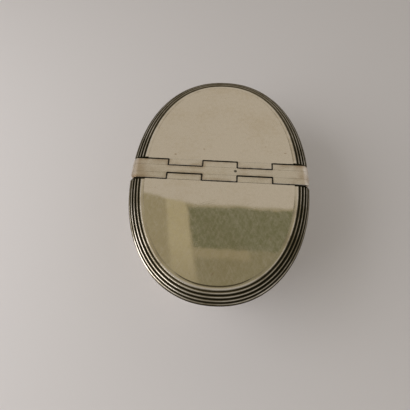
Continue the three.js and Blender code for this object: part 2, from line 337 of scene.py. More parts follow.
class StageSettings(bpy.types.PropertyGroup):
    """The floor, the room and the lamp."""

    floor: FloatVectorProperty(
        name="Floor", description="Pale paper under the box", default=(0.717, 0.696, 0.691),
        subtype="COLOR", size=3, min=0, max=1,
    )
    horizon: FloatVectorProperty(
        name="Horizon", description="Room low down, all round", default=(0.48, 0.462, 0.452),
        subtype="COLOR", size=3, min=0, max=1,
    )
    wall: FloatVectorProperty(
        name="Far wall", description="Room beyond the box", default=(0.455, 0.41, 0.345),
        subtype="COLOR", size=3, min=0, max=1,
    )
    ceiling: FloatVectorProperty(
        name="Ceiling", description="Room overhead", default=(0.28, 0.243, 0.15),
        subtype="COLOR", size=3, min=0, max=1,
    )
    ceiling_band: FloatVectorProperty(
        name="Ceiling band", description="Lighter strip overhead", default=(0.39, 0.342, 0.216),
        subtype="COLOR", size=3, min=0, max=1,
    )
    ceiling_shade: FloatVectorProperty(
        name="Ceiling shade", description="Darker part overhead", default=(0.215, 0.192, 0.115),
        subtype="COLOR", size=3, min=0, max=1,
    )
    card: FloatVectorProperty(
        name="Dark card", description="Soft dark card overhead", default=(0.148, 0.145, 0.08),
        subtype="COLOR", size=3, min=0, max=1,
    )
    near_wall: FloatVectorProperty(
        name="Near wall", description="Room behind the camera", default=(0.36, 0.345, 0.325),
        subtype="COLOR", size=3, min=0, max=1,
    )
    sides: FloatVectorProperty(
        name="Sides", description="Room to the left and the right", default=(0.6, 0.58, 0.57),
        subtype="COLOR", size=3, min=0, max=1,
    )
    lamp_power: FloatProperty(
        name="Lamp power", description="Power of the lamp on the left", default=0.63, min=0, unit="POWER"
    )


class Value:
    """A number that varies over a surface. Sums on it add Math nodes to its tree."""

    def __init__(self, tree, socket):
        self.tree = tree
        self.socket = socket

    def result(self, operation, first, second):
        return self.tree.make("ShaderNodeMath", {"operation": operation}, {0: first, 1: second})

    def __add__(self, other):
        return self.result("ADD", self, other)

    def __radd__(self, other):
        return self.result("ADD", other, self)

    def __sub__(self, other):
        return self.result("SUBTRACT", self, other)

    def __rsub__(self, other):
        return self.result("SUBTRACT", other, self)

    def __mul__(self, other):
        return self.result("MULTIPLY", self, other)

    def __rmul__(self, other):
        return self.result("MULTIPLY", other, self)

    def __truediv__(self, other):
        return self.result("DIVIDE", self, other)

    def __rtruediv__(self, other):
        return self.result("DIVIDE", other, self)

    def at_least(self, other):
        return self.result("MAXIMUM", self, other)

    def at_most(self, other):
        return self.result("MINIMUM", self, other)

    def above(self, other):
        return self.result("GREATER_THAN", self, other)

    def size(self):
        return self.tree.make("ShaderNodeMath", {"operation": "ABSOLUTE"}, {0: self})


class NodeTree:
    """The nodes of one material, or of the room's world."""

    def __init__(self, owner):
        owner.use_nodes = True
        self.nodes = owner.node_tree.nodes
        self.links = owner.node_tree.links
        self.nodes.clear()

    def make(self, kind, settings=None, sockets=None, output=0):
        """A new node of a kind: its settings first, then its sockets. Returns one of its outputs."""
        node = self.nodes.new(kind)
        for name, value in (settings or {}).items():
            setattr(node, name, value)
        for name, value in (sockets or {}).items():
            if isinstance(value, Value):
                self.links.new(value.socket, node.inputs[name])
            else:
                node.inputs[name].default_value = value
        return Value(self, node.outputs[output]) if node.outputs else None

    def place(self):
        """The point on the piece, in metres from the box's middle."""
        return self.make("ShaderNodeTexCoord", output="Object")

    def axis(self, vector, name):
        """One coordinate of a vector."""
        return self.make("ShaderNodeSeparateXYZ", None, {"Vector": vector}, name)

    def distance(self, vector, point):
        """How far a vector is from a point."""
        return self.make("ShaderNodeVectorMath", {"operation": "DISTANCE"}, {0: vector, 1: point}, "Value")

    def seam_distance(self, place):
        """How far a point is, in plan, from the open seams round the knuckles."""
        x = self.axis(place, "X").size()
        y = self.axis(place, "Y").size()
        on_lid = x.above(INNER_CUT) - x.above(OUTER_CUT)
        along = (y - OUTER_SEAM + on_lid * (OUTER_SEAM - INNER_SEAM)).size()
        cut = (x - INNER_CUT).size().at_most((x - OUTER_CUT).size())
        past_ends = (INNER_SEAM - y).at_least(0.0) + (y - OUTER_SEAM).at_least(0.0)
        return along.at_most(cut + past_ends)

    def seam_depth(self, place):
        """1 at the top of the box, where the seams hold tarnish and painted shade, and 0 down where their
        sides are clean.
        """
        return self.ramp(self.axis(place, "Z"), TOP - SEAM_CLEAN_DEPTH, TOP - SEAM_BLACK_DEPTH)

    def noise(self, vector, scale, detail=3.0, roughness=0.55):
        """A cloudy pattern about a middle of 0.5."""
        sockets = {"Vector": vector, "Scale": scale, "Detail": detail, "Roughness": roughness}
        return self.make("ShaderNodeTexNoise", None, sockets, "Fac")

    def ramp(self, value, start, end):
        """A smooth step from 0 at start to 1 at end."""
        sockets = {"Value": value, "From Min": start, "From Max": end}
        return self.make("ShaderNodeMapRange", {"interpolation_type": "SMOOTHSTEP"}, sockets)

    def blend(self, share, first, second):
        """A colour that goes from the first to the second as the share goes from 0 to 1."""
        colours = {6: opaque(first), 7: opaque(second)}
        return self.make("ShaderNodeMix", {"data_type": "RGBA"}, {0: share, **colours}, 2)

    def turned(self, vector, angle, units):
        """The point in axes turned about Z by an angle, with each axis measured in its own unit."""
        sockets = {"Vector": vector, "Rotation": (0, 0, angle), "Scale": units}
        return self.make("ShaderNodeMapping", {"vector_type": "TEXTURE"}, sockets)

    def scratches(self, vector, angle, length, width, start, end):
        """Fine lines about as long and as wide as asked, along a direction in plan."""
        stretched = self.turned(vector, angle, (length, width, width))
        lines = self.noise(stretched, scale=1.0, detail=2.0, roughness=0.6)
        return self.ramp(lines, start, end)

    def bump(self, height, distance, normal=None):
        """A normal tilted by a height, on top of another normal where one is given."""
        sockets = {"Height": height, "Distance": distance, "Strength": 1.0}
        if normal is not None:
            sockets["Normal"] = normal
        return self.make("ShaderNodeBump", None, sockets)

    def metal(self, tint, roughness, normal):
        """The shader of a bare metal."""
        sockets = {"Base Color": tint, "Metallic": 1.0, "Roughness": roughness, "Normal": normal}
        return self.make("ShaderNodeBsdfPrincipled", None, sockets)

    def surface(self, shader):
        """Gives the material its shader."""
        self.make("ShaderNodeOutputMaterial", None, {"Surface": shader})


def opaque(colour):
    """A colour with its alpha, or a link as it is."""
    return colour if isinstance(colour, Value) else (*colour, 1.0)


def lid_silver(tree, place, colours):
    """Flat polished sheet, gently uneven, with fine wear in many directions and a thin bloom."""
    cloud = tree.noise(place, scale=60.0)
    mottle = tree.noise(place, scale=750.0, roughness=0.6)
    bloom = tree.ramp(cloud * 0.6 + mottle * 0.4, start=0.44, end=0.68)
    along = tree.scratches(place, angle=0.35, length=0.012, width=0.00016, start=0.62, end=0.75)
    across = tree.scratches(place, angle=1.75, length=0.009, width=0.00013, start=0.63, end=0.76)
    wear = (along + across).at_most(1.0)
    specks = tree.ramp(tree.noise(place, scale=420.0, detail=1.0), start=0.76, end=0.8)
    wipes = tree.scratches(place, angle=1.2, length=0.004, width=0.0007, start=0.4, end=0.72)
    wipes = wipes + tree.scratches(place, angle=2.1, length=0.003, width=0.0006, start=0.42, end=0.74)
    haze = (wipes * 0.45 + tree.ramp(mottle, start=0.38, end=0.7) * 0.55).at_most(1.0)
    seam = tree.seam_distance(place) + (mottle - 0.5) * SEAM_RAGGEDNESS
    # Tarnish and painted shade blacken the plate's edge beside the open seams round the knuckles
    edge = tree.ramp(seam, start=0.00032, end=0.00012) * tree.seam_depth(place)
    tint = tree.blend(bloom * 0.5, colours.silver, colours.bloom)
    tint = tree.blend(specks * 0.5, tint, colours.brown)
    tint = tree.blend(edge * 0.95, tint, colours.tarnish)
    roughness = 0.03 + bloom * 0.012 + wear * 0.03 + specks * 0.2 + edge * 0.3
    waves = tree.bump(cloud, distance=0.00003)
    fine = tree.bump(wear * -1.0 - specks, distance=0.0000007, normal=waves)
    clear = tree.metal(tint, roughness, fine)
    hazy = tree.metal(tint, HAZE_ROUGHNESS, fine)
    tree.surface(tree.make("ShaderNodeMixShader", None, {0: haze * HAZE_SHARE, 1: clear, 2: hazy}))


def bar_silver(tree, place, colours):
    """Filed and burnished along the bar, browner at its ends, with black seams round the knuckles."""
    cloud = tree.noise(place, scale=160.0)
    mottle = tree.noise(place, scale=750.0, detail=4.0, roughness=0.65)
    filing = tree.scratches(place, angle=0.04, length=0.009, width=0.00009, start=0.5, end=0.72)
    bloom = tree.ramp(cloud * 0.6 + mottle * 0.4, start=0.44, end=0.68)
    seam = tree.seam_distance(place) + (mottle - 0.5) * SEAM_RAGGEDNESS
    # Tarnish and painted shade blacken the bar beside the open seams round the knuckles
    seam_tarnish_and_shade = tree.ramp(seam, start=0.00036, end=0.00014) * tree.seam_depth(place)
    pit = tree.ramp(tree.distance(place, BAR_PIT), *PIT_RADII)
    ends = tree.ramp(tree.axis(place, "X").size(), start=0.015, end=0.028)
    stain = tree.ramp(seam, start=0.0016, end=0.0002) * 0.4 + ends * 0.5
    stain = stain * tree.ramp(cloud, start=0.3, end=0.6)
    tint = tree.blend(bloom * 0.6, colours.silver, colours.bloom)
    tint = tree.blend(stain, tint, colours.brown)
    tint = tree.blend(seam_tarnish_and_shade.at_least(pit * 0.85) * 0.97, tint, colours.tarnish)
    roughness = 0.2 + filing * 0.12 + bloom * 0.08 + seam_tarnish_and_shade * 0.3
    waves = tree.bump(cloud, distance=0.00003)
    fine = tree.bump(filing - pit * 4.0, distance=0.000003, normal=waves)
    tree.surface(tree.metal(tint, roughness, fine))


def reed_silver(tree, place, colours):
    """Reeded wire with bright crests, olive brown beside the grooves and black in them: tarnish and painted
    shade.
    """
    groove = tree.make("ShaderNodeAttribute", {"attribute_name": "groove"}, None, "Fac")
    mottle = tree.noise(place, scale=900.0, detail=4.0, roughness=0.6)
    cloud = tree.noise(place, scale=150.0)
    level = groove + (mottle - 0.5) * 0.05 + (cloud - 0.5) * 0.1
    # Tarnish and painted shade blacken the border's ends beside the open seams round the knuckles
    seam = tree.seam_distance(place) + (mottle - 0.5) * BORDER_END_RAGGEDNESS
    level = level.at_least(tree.ramp(seam, start=0.0006, end=0.0002) * tree.seam_depth(place))
    # The stored level turns the silver olive with tarnish and painted shade, then black in the grooves
    darkening = tree.ramp(level, start=0.0, end=0.09)
    deep = tree.ramp(level, start=0.09, end=0.34)
    tint = tree.blend(tree.ramp(cloud, start=0.4, end=0.7) * 0.5, colours.silver, colours.bloom)
    tint = tree.blend(darkening, tint, colours.olive)
    tint = tree.blend(deep, tint, colours.tarnish)
    roughness = 0.14 + mottle * 0.1 + darkening * 0.2 + deep * 0.2
    tree.surface(tree.metal(tint, roughness, tree.bump(mottle, distance=0.000003)))


def body_silver(tree, place, colours):
    """The outside of the box: polished sheet with scuffs round it and brown stain in its angles."""
    cloud = tree.noise(place, scale=80.0)
    mottle = tree.noise(place, scale=700.0, detail=4.0, roughness=0.65)
    scuffs = tree.scratches(place, angle=0.6, length=0.01, width=0.00016, start=0.6, end=0.76)
    height = tree.axis(place, "Z")
    low = tree.ramp(height, start=FOOT_TOP + 0.0015, end=WALL_FOOT)
    high = tree.ramp(height, start=RIM_BOTTOM - 0.002, end=RIM_BOTTOM + 0.0008)
    darkening = (low + high).at_most(1.0) * tree.ramp(mottle + cloud, start=0.8, end=1.15)
    bloom = tree.ramp(cloud * 0.7 + mottle * 0.3, start=0.46, end=0.7)
    tint = tree.blend(bloom * 0.5, colours.silver, colours.bloom)
    tint = tree.blend(darkening * 0.6, tint, colours.brown)
    roughness = 0.17 + bloom * 0.08 + scuffs * 0.14 + darkening * 0.2
    waves = tree.bump(cloud, distance=0.00003)
    tree.surface(tree.metal(tint, roughness, tree.bump(scuffs, distance=0.000002, normal=waves)))


def worn_silver(tree, place, colours):
    """Sheet that was never polished: satin, stained and rubbed."""
    cloud = tree.noise(place, scale=140.0, detail=4.0, roughness=0.6)
    mottle = tree.noise(place, scale=800.0, detail=5.0, roughness=0.68)
    rubs = tree.scratches(place, angle=0.9, length=0.012, width=0.0002, start=0.56, end=0.74)
    stain = tree.ramp(cloud * 0.6 + mottle * 0.4, start=0.5, end=0.66)
    tint = tree.blend(stain * 0.6, colours.worn, colours.bloom)
    tint = tree.blend(tree.ramp(mottle, start=0.62, end=0.78) * 0.4, tint, colours.tarnish)
    roughness = 0.36 + stain * 0.14 - rubs * 0.1
    fine = tree.bump(mottle * 0.6 + rubs * 0.4, distance=0.000008)
    tree.surface(tree.metal(tint, roughness, fine))


def pin_wire(tree, place, colours):
    """Drawn wire, with lines along it and dry tarnish."""
    lines = tree.scratches(place, angle=0.0, length=0.008, width=0.00006, start=0.45, end=0.7)
    stain = tree.ramp(tree.noise(place, scale=500.0, detail=4.0), start=0.45, end=0.7)
    tint = tree.blend(stain * 0.6, colours.wire, colours.tarnish)
    roughness = 0.3 + lines * 0.15 + stain * 0.15
    tree.surface(tree.metal(tint, roughness, tree.bump(lines, distance=0.000002)))


FINISHES = {
    "lid_silver": lid_silver,
    "bar_silver": bar_silver,
    "reed_silver": reed_silver,
    "body_silver": body_silver,
    "worn_silver": worn_silver,
    "pin_wire": pin_wire,
}
made_finishes = {}


def finish(name):
    """The named finish, made once."""
    if name not in made_finishes:
        material = bpy.data.materials.new(name)
        tree = NodeTree(material)
        FINISHES[name](tree, tree.place(), bpy.context.scene.spice_box_colours)
        made_finishes[name] = material
    return made_finishes[name]


def oval_point(angle, offset):
    """The point of the oval at a polar angle, moved outwards by an offset square to the lid's edge."""
    power = bpy.context.scene.spice_box_oval.fullness
    across = math.cos(angle) / LID_HALF_WIDTH
    along = math.sin(angle) / LID_HALF_LENGTH
    reach = (abs(across) ** power + abs(along) ** power) ** (-1 / power)
    outward = Vector((
        math.copysign(abs(across) ** (power - 1), across) / LID_HALF_WIDTH,
        math.copysign(abs(along) ** (power - 1), along) / LID_HALF_LENGTH,
    )).normalized()
    return Vector((math.cos(angle), math.sin(angle))) * reach + outward * offset


def bend_to_oval(bm):
    """Moves each point from its circle round the origin to the oval, at the same offset from it."""
    for vert in bm.verts:
        angle = math.atan2(vert.co.y, vert.co.x)
        vert.co.xy = oval_point(angle, vert.co.xy.length - LID_HALF_LENGTH)


def everything(bm):
    """All the points, edges and faces of a mesh."""
    return bm.verts[:] + bm.edges[:] + bm.faces[:]


def edges_of(geometry):
    """The edges in an operator's result."""
    return [item for item in geometry if isinstance(item, bmesh.types.BMEdge)]


def verts_of(geometry):
    """The points in an operator's result."""
    return [item for item in geometry if isinstance(item, bmesh.types.BMVert)]


def closed_loop(bm, points):
    """A closed loop of edges through the points."""
    verts = [bm.verts.new(point) for point in points]
    return [bm.edges.new(pair) for pair in zip(verts, verts[1:] + verts[:1])]


def oval_ring(section):
    """A section of (offset, height) points spun round a circle and bent to the oval."""
    bm = bmesh.new()
    edges = closed_loop(bm, [(LID_HALF_LENGTH + offset, 0, height) for offset, height in section])
    bmesh.ops.spin(
        bm, geom=bm.verts[:] + edges, cent=(0, 0, 0), axis=(0, 0, 1), angle=2 * math.pi,
        steps=bpy.context.scene.spice_box_oval.steps, use_merge=True,
    )
    bend_to_oval(bm)
    bmesh.ops.remove_doubles(bm, verts=bm.verts, dist=MERGE_DISTANCE)
    bmesh.ops.recalc_face_normals(bm, faces=bm.faces)
    return bm


def oval_plate(offset, bottom, top):
    """A flat plate with an oval edge."""
    bm = bmesh.new()
    steps = bpy.context.scene.spice_box_oval.steps
    bmesh.ops.create_circle(bm, cap_ends=True, segments=steps, radius=LID_HALF_LENGTH + offset)
    bend_to_oval(bm)
    bmesh.ops.translate(bm, vec=(0, 0, bottom), verts=bm.verts)
    raised = bmesh.ops.extrude_face_region(bm, geom=bm.faces[:])["geom"]
    bmesh.ops.translate(bm, vec=(0, 0, top - bottom), verts=verts_of(raised))
    bmesh.ops.recalc_face_normals(bm, faces=bm.faces)
    return bm


def cut_off(bm, point, outward):
    """Cuts off what lies beyond a plane and closes the cut."""
    cut = bmesh.ops.bisect_plane(
        bm, geom=everything(bm), dist=CUT_DISTANCE, plane_co=point, plane_no=outward, clear_outer=True
    )["geom_cut"]
    bmesh.ops.holes_fill(bm, edges=edges_of(cut), sides=0)


def keep_side(bm, side, edge):
    """Keeps what lies on one side of the box beyond a line across it."""
    cut_off(bm, (0, side * edge, 0), (0, -side, 0))


def round_end_corners(bm, side, radius):
    """Rounds, in plan, the two outer corners where a border stops at the bar."""
    reach = max(vert.co.x for vert in bm.verts)
    for hand in (-1, 1):
        centre = Vector((hand * (reach - radius), side * (LID_EDGE + radius), 0))
        for cut in range(1, CORNER_CUTS):
            turn = math.pi / 2 * cut / CORNER_CUTS
            outward = Vector((hand * math.sin(turn), -side * math.cos(turn), 0))
            cut_off(bm, centre + outward * radius, outward)


def ease_edges(bm, edges, width):
    """Rounds off sharp edges."""
    bmesh.ops.bevel(
        bm, geom=edges, offset=width, offset_type="OFFSET", segments=EASE_SEGMENTS, profile=0.5,
        affect="EDGES", clamp_overlap=True, material=-1,
    )


def flat_edges(bm, height):
    """The edges round a flat face at a height."""
    return [
        edge for edge in bm.edges
        if all(abs(vert.co.z - height) < MERGE_DISTANCE for vert in edge.verts)
    ]


def let_in_bar(bm):
    """Cuts the slot for the bar through a ring, and closes the slot's floor and sides."""
    half_width = BAR_HALF_WIDTH + SOLDER_GAP
    floor = BAR_UNDERSIDE - SOLDER_GAP
    cuts = (
        ((0, half_width, 0), (0, 1, 0)),
        ((0, -half_width, 0), (0, 1, 0)),
        ((0, 0, floor), (0, 0, 1)),
    )
    for point, normal in cuts:
        bmesh.ops.bisect_plane(
            bm, geom=everything(bm), dist=CUT_DISTANCE, plane_co=point, plane_no=normal
        )
    slot = []
    for face in bm.faces:
        middle = face.calc_center_median()
        if abs(middle.y) < half_width and middle.z > floor:
            slot.append(face)
    bmesh.ops.delete(bm, geom=slot, context="FACES")
    for hand in (-1, 1):
        open_edges = [
            edge for edge in bm.edges
            if edge.is_boundary and all(abs(vert.co.z - floor) < MERGE_DISTANCE for vert in edge.verts)
            and edge.verts[0].co.x * hand > 0
        ]
        bmesh.ops.bridge_loops(bm, edges=open_edges)
    bmesh.ops.holes_fill(bm, edges=[edge for edge in bm.edges if edge.is_boundary], sides=0)


def piece(bm, name, body, nodes, finish_name):
    """A finished piece in the place of its nodes, riding on their body."""
    bmesh.ops.remove_doubles(bm, verts=bm.verts, dist=MERGE_DISTANCE)
    bmesh.ops.recalc_face_normals(bm, faces=bm.faces)
    mesh = bpy.data.meshes.new(name)
    bm.to_mesh(mesh)
    bm.free()
    mesh.shade_smooth()
    mesh.set_sharp_from_angle(angle=SHARP_ANGLE)
    for polygon in mesh.polygons:
        if polygon.loop_total > FLAT_SIDES:
            polygon.use_smooth = False
    mesh.materials.append(finish(finish_name))
    made = bpy.data.objects.new(name, mesh)
    bpy.context.scene.collection.objects.link(made)
    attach(made, body)
    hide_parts(*nodes)


def drawn_face(points, vector):
    """A flat face through the points, drawn along a vector into a solid."""
    bm = bmesh.new()
    bmesh.ops.contextual_create(bm, geom=closed_loop(bm, points))
    drawn = bmesh.ops.extrude_face_region(bm, geom=bm.faces[:])["geom"]
    bmesh.ops.translate(bm, vec=vector, verts=verts_of(drawn))
    return bm


def arc_points(middle, radii, start, end, steps=ARC_STEPS):
    """Points along an arc from one angle to another, with both ends."""
    points = []
    for step in range(steps + 1):
        turn = start + (end - start) * step / steps
        points.append((middle[0] + radii[0] * math.cos(turn), middle[1] + radii[1] * math.sin(turn)))
    return points


def curve_points(start, control, end, steps):
    """Points of a quadratic curve, without its last point."""
    points = []
    for step in range(steps):
        share = step / steps
        rest = 1 - share
        points.append(tuple(
            a * rest * rest + 2 * b * rest * share + c * share * share
            for a, b, c in zip(start, control, end)
        ))
    return points


def border_section(border):
    """The border's section as (offset, height) points, and how much tarnish and painted shade each holds.
    """

    def groove_height(distance):
        return TOP - border.groove_depth - distance ** 2 / (2 * border.dome_radius)

    flat = [HAIRLINE] + [share * SHOULDER_FLAT for share in FLAT_SHARES]
    points = [(HAIRLINE, LID_UNDERSIDE)] + [(offset, TOP) for offset in flat]
    tarnish = [UNDERSIDE_TARNISH] + [0.0] * len(flat)
    distance = SHOULDER_WIDTH
    start = Vector((distance, groove_height(distance)))
    points += curve_points((SHOULDER_FLAT, TOP), (SHOULDER_CREST, TOP), start, REED_STEPS)
    for step in range(REED_STEPS):
        tarnish.append((step / REED_STEPS) ** SHOULDER_SHARPNESS * GROOVE_TARNISH_AND_SHADE[0])
    for width, before, after in zip(REED_WIDTHS, GROOVE_TARNISH_AND_SHADE, GROOVE_TARNISH_AND_SHADE[1:]):
        distance += width
        end = Vector((distance, groove_height(distance)))
        along = (end - start).normalized()
        crest = (start + end) / 2 + Vector((-along.y, along.x)) * 2 * border.reed_rise
        points += curve_points(start, crest, end, REED_STEPS)
        for step in range(REED_STEPS):
            across = 2 * step / REED_STEPS - 1
            # Tarnish in the grooves, spread as painted shade over most of each reed's flanks
            depth = abs(across) ** CREST_SHARPNESS * (before if across < 0 else after)
            tarnish.append(CREST_TARNISH + depth)
        start = end
    radius = border.lip_radius
    lip_offset = BORDER_WIDTH - radius
    turn = math.acos((start.x - lip_offset) / radius)
    lip_middle = (lip_offset, start.y - radius * math.sin(turn))
    points += arc_points(lip_middle, (radius, radius), turn, -math.pi / 2, LIP_STEPS)
    tarnish += [lip_tarnish_and_shade(step / LIP_STEPS) for step in range(LIP_STEPS + 1)]
    points.append((RIM_EDGE + BORDER_OVER_RIM, LID_UNDERSIDE))
    tarnish.append(UNDERSIDE_TARNISH)
    return points, tarnish


def lip_tarnish_and_shade(share):
    """The lip's tarnish and painted shade, from its groove, at 0, round to its underside, at 1, with a
    painted dark outer edge.
    """
    begin, full, fading, clear = LIP_SHADE_BAND
    # The painted shade band along the lip's outer edge
    edge = max(0.0, min(1.0, (share - begin) / (full - begin), (clear - share) / (clear - fading)))
    groove = max(0.0, 1 - share / LIP_GROOVE_SHARE) ** 2
    return groove + LIP_TARNISH_AND_SHADE + LIP_EDGE_SHADE * edge


def mark_tarnish_and_shade(bm, section, tarnish):
    """Stores how much tarnish and painted shade each point of a border holds, as its section gives it and
    changes round the box.
    """
    layer = bm.verts.layers.float.new("groove")
    bm.verts.ensure_lookup_table()
    for index, vert in enumerate(bm.verts):
        section_index = index % len(section)
        offset, height = section[section_index]
        level = tarnish[section_index]
        if height == TOP:
            # A thin dark joint along the plate's edge, with a painted shade line at the front tip
            tip_shade = max(0.0, 1 - (vert.co.x / TIP_SHADE_REACH) ** 2) if vert.co.y < 0 else 0.0
            level = (SEAM_TARNISH + TIP_SHADE * tip_shade) * max(0.0, 1 - (offset / SHOULDER_FLAT) ** 2)
        elif offset < LIP_START:
            # Reeds cleared of tarnish and painted shade where the lamp's highlights are to show
            level *= 1 - REED_CLEARING * nearness(vert.co, *REEDS_HIGHLIGHT_CLEARING)
            # Painted shade on the reeds at the front right, away from the lamp
            level += REED_SHADE * nearness(vert.co, *REEDS_SHADED) if offset > SHOULDER_WIDTH else 0.0
            # Tarnish and painted shade capped lower towards the rear
            most, least = REAR_CAPS
            level = min(level, most + (least - most) * nearness(vert.co, *REAR_CAPPED))
        elif offset > LIP_CREST:
            polish = LIP_POLISH * nearness(vert.co, *LIP_WORN) if level < LIP_LINE_LIMIT else 0.0
            # The lip cleared where the lamp's highlight is to show, and worn lighter round the front
            level *= 1 - max(nearness(vert.co, *LIP_HIGHLIGHT_CLEARING), polish)
        vert[layer] = level


def nearness(place, middle, spread):
    """1 at a middle angle in plan, in degrees, and less to each side, down to 0 at the spread."""
    angle = math.degrees(math.atan2(place.y, place.x)) % 360
    return max(0.0, 1 - ((angle - middle) / spread) ** 2)


class SPICEBOX_OT_body(bpy.types.Operator):
    """Makes the base, the foot, the wall, the rim and the partition."""

    bl_idname = "spice_box.body"
    bl_label = "Body"

    def execute(self, context):
        ease = context.scene.spice_box_hinge.plate_ease
        base = oval_plate(BASE_EDGE, 0, BASE_TOP)
        ease_edges(base, flat_edges(base, 0) + flat_edges(base, BASE_TOP), 2 * ease)
        piece(base, "base_sheet", "box", ["base_plate"], "worn_silver")

        inside = WALL_OUTSIDE + SOLDER_GAP
        foot_size = (BASE_EDGE - inside, FOOT_TOP - WALL_FOOT)
        foot = [(inside, WALL_FOOT)] + arc_points((inside, WALL_FOOT), foot_size, 0, math.pi / 2)
        piece(oval_ring(foot), "foot_wire", "box", ["foot_moulding"], "body_silver")

        wall_inside = WALL_OUTSIDE - WALL_THICKNESS
        wall = oval_ring([
            (wall_inside, WALL_FOOT), (WALL_OUTSIDE, WALL_FOOT), (WALL_OUTSIDE, SEAT), (wall_inside, SEAT)
        ])
        let_in_bar(wall)
        piece(wall, "wall_band", "box", ["body_wall"], "body_silver")

        upright = (RIM_EDGE, SEAT - RIM_UPRIGHT)
        hollow = (inside + (RIM_EDGE - WALL_OUTSIDE) * RIM_HOLLOW_SHARE, SEAT - RIM_UPRIGHT)
        rim = [(inside, SEAT), (RIM_EDGE - ease, SEAT), (RIM_EDGE, SEAT - ease)]
        rim += curve_points(upright, hollow, (inside, RIM_BOTTOM), ARC_STEPS)
        rim.append((inside, RIM_BOTTOM))
        rim_ring = oval_ring(rim)
        let_in_bar(rim_ring)
        piece(rim_ring, "rim_wire", "box", ["rim_flange"], "body_silver")
        self.partition(ease)
        return {"FINISHED"}

    def partition(self, ease):
        """The upright sheet between the compartments, with a fillet of solder along its foot."""
        middle = (PARTITION_HALF + SOLDER_FILLET, WALL_FOOT + SOLDER_FILLET)
        profile = arc_points(middle, (SOLDER_FILLET, SOLDER_FILLET), -math.pi / 2, -math.pi)
        profile.append((PARTITION_HALF, PARTITION_TOP - ease))
        profile.append((PARTITION_HALF - ease, PARTITION_TOP))
        outline = profile + [(-y, z) for y, z in reversed(profile)]
        points = [(-PARTITION_HALF_WIDTH, y, z) for y, z in outline]
        bm = drawn_face(points, (2 * PARTITION_HALF_WIDTH, 0, 0))
        piece(bm, "partition_sheet", "box", ["partition"], "worn_silver")


def bar_top(hinge, x):
    """Height of the bar's top at a place along it, rounded over near the ends."""
    inward = max(0.0, abs(x) - (BAR_END - hinge.end_length)) / hinge.end_length
    return TOP - hinge.end_drop * (1 - math.sqrt(max(0.0, 1 - inward * inward)))


def bar_side(hinge, x):
    """How far the bar's corners draw in, in plan, at a place along it."""
    inward = max(0.0, abs(x) - (BAR_END - hinge.end_corner)) / hinge.end_corner
    return hinge.end_corner * (1 - math.sqrt(max(0.0, 1 - inward * inward)))


def end_places(hinge):
    """Places along the bar where its end is rounded over, closer together towards the tip."""
    start = BAR_END - hinge.end_length
    return [
        start + hinge.end_length * math.sin(math.pi / 2 * step / END_STEPS)
        for step in range(END_STEPS + 1)
    ]


class SPICEBOX_OT_bar(bpy.types.Operator):
    """Makes the strip along the middle of the bar."""

    bl_idname = "spice_box.bar"
    bl_label = "Bar"

    def execute(self, context):
        hinge = context.scene.spice_box_hinge
        right = [(x, bar_top(hinge, x)) for x in reversed(end_places(hinge))]
        outline = [(-BAR_END, BAR_UNDERSIDE), (BAR_END, BAR_UNDERSIDE), *right]
        outline += [(-x, z) for x, z in reversed(right)]
        bm = drawn_face([(x, -STRIP_HALF_WIDTH, z) for x, z in outline], (0, 2 * STRIP_HALF_WIDTH, 0))
        piece(bm, "bar_strip", "box", ["hinge_bar"], "bar_silver")
        return {"FINISHED"}


def block_section(side):
    """The section of a bar knuckle: square where it is soldered on, with a round shoulder outside."""
    shoulder = math.asin((TOP - AXIS_Z) / KNUCKLE_RADIUS)
    points = [(BLOCK_INSIDE, BAR_UNDERSIDE), (BAR_HALF_WIDTH, BAR_UNDERSIDE)]
    points += arc_points((AXIS_Y, AXIS_Z), (KNUCKLE_RADIUS, KNUCKLE_RADIUS), 0, shoulder)
    points.append((BLOCK_INSIDE, TOP))
    return [(side * y, z) for y, z in points[::side]]


def barrel_section(side):
    """The section of a lid knuckle: a barrel filed flat on top, with a web to the lid."""
    shoulder = math.asin((TOP - AXIS_Z) / KNUCKLE_RADIUS)
    web = math.asin((LID_UNDERSIDE - AXIS_Z) / KNUCKLE_RADIUS)
    radii = (KNUCKLE_RADIUS, KNUCKLE_RADIUS)
    points = [(WEB_END, LID_UNDERSIDE), (WEB_END, TOP)]
    points += arc_points((AXIS_Y, AXIS_Z), radii, math.pi - shoulder, 2 * math.pi + web, BARREL_STEPS)
    return [(side * y, z) for y, z in points[::side]]


def drawn_along(bm, loop, places):
    """Draws a loop of edges along X through the places, and returns the last loop."""
    for before, after in zip(places, places[1:]):
        drawn = bmesh.ops.extrude_edge_only(bm, edges=loop)["geom"]
        bmesh.ops.translate(bm, vec=(after - before, 0, 0), verts=verts_of(drawn))
        moved = set(verts_of(drawn))
        loop = [edge for edge in edges_of(drawn) if all(vert in moved for vert in edge.verts)]
    return loop


def bore_loop(bm, side, x):
    """The circle of the hinge bore at a place along the bar."""
    turn = Matrix.Rotation(math.pi / 2, 4, "Y")
    verts = bmesh.ops.create_circle(
        bm, segments=BORE_SIDES, radius=PIN_RADIUS + BORE_CLEARANCE,
        matrix=Matrix.Translation((x, side * AXIS_Y, AXIS_Z)) @ turn,
    )["verts"]
    return list({edge for vert in verts for edge in vert.link_edges})


def eased_places(start, end, ease):
    """Places along a knuckle, with two close to each of its ends for the eased edges."""
    step = math.copysign(ease, end - start)
    return [start, start + FIRST_EASE * step, start + step, end - step, end - FIRST_EASE * step, end]


def ease_ends(bm, side, ends, ease):
    """Draws in the outer edges of a knuckle at its square ends."""
    axis = Vector((0, side * AXIS_Y, AXIS_Z))
    for vert in bm.verts:
        depth = min(abs(vert.co.x - end) for end in ends) / ease
        if depth < 1:
            arm = vert.co - axis
            arm.x = 0
            if arm.length > PIN_RADIUS + 2 * BORE_CLEARANCE:
                drawn = ease * (1 - math.sqrt(1 - (1 - depth) ** 2))
                vert.co -= arm.normalized() * drawn


